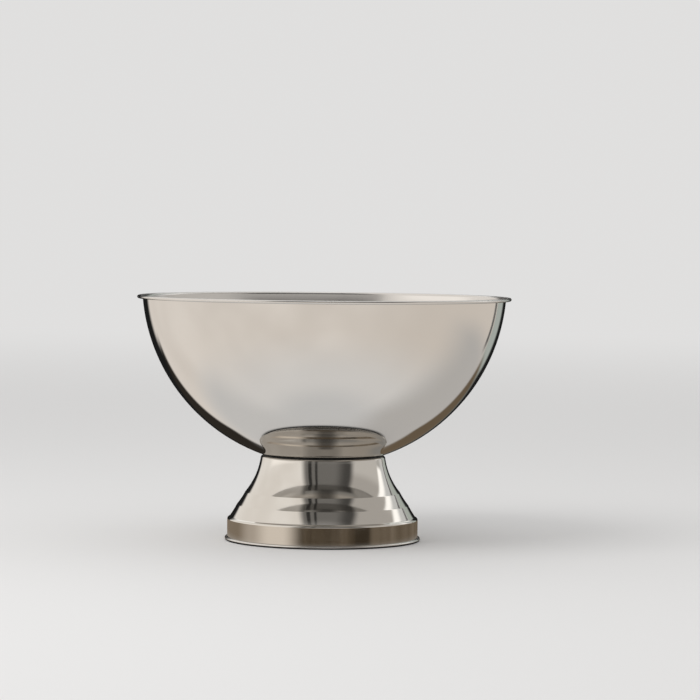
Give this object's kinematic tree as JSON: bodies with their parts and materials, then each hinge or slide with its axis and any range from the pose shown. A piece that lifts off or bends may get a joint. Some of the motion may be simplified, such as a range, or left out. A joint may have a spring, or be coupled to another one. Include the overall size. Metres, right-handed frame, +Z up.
{
  "type": "champagne bowl",
  "caption": "Polished steel champagne bowl with a rolled rim, on a stepped flared pedestal foot held by a stud and wing nut.",
  "frame": {"origin": "centre of the foot, on the plane it stands on", "axes": "+Z up along the axis of the bowl; the wing nut's wings lie along X"},
  "size_m": [0.37, 0.37, 0.2418],
  "materials": {
    "polished_steel": "mirror polished stainless steel",
    "plain_steel": "unpolished stainless steel sheet and wire",
    "zinc_plated_steel": "bright zinc plated",
    "black_rubber": "matte black"
  },
  "bodies": {
    "pedestal": {"pedestal_shell": "polished_steel", "hem_wire": "plain_steel", "foot_grip_ring": "black_rubber"},
    "gasket": {"seat_gasket": "black_rubber"},
    "bowl": {"bowl_shell": "polished_steel", "rim_wire": "plain_steel", "stud_plate": "plain_steel", "mounting_stud": "zinc_plated_steel"},
    "clamp_stack": {"clamp_plate": "plain_steel", "flat_washer": "zinc_plated_steel", "lock_washer": "zinc_plated_steel"},
    "wing_nut": {"wing_nut": "zinc_plated_steel"}
  },
  "joints": [
    {"name": "gasket_lift", "type": "slide", "parent": "pedestal", "child": "gasket", "axis": [0, 0, 1], "range_m": [0, 0.03]},
    {"name": "bowl_lift", "type": "slide", "parent": "gasket", "child": "bowl", "axis": [0, 0, 1], "range_m": [0, 0.06]},
    {"name": "clamp_drop", "type": "slide", "parent": "pedestal", "child": "clamp_stack", "axis": [0, 0, -1], "range_m": [0, 0.01875]},
    {"name": "nut_turn", "type": "hinge", "parent": "clamp_stack", "child": "wing_nut", "pos_m": [0, 0, 0.0584], "axis": [0, 0, -1], "range_deg": [0, 5400]}
  ],
  "couplings": [
    {"joint": "nut_turn", "follows": "clamp_drop", "rad_per_m": 5026.5}
  ]
}
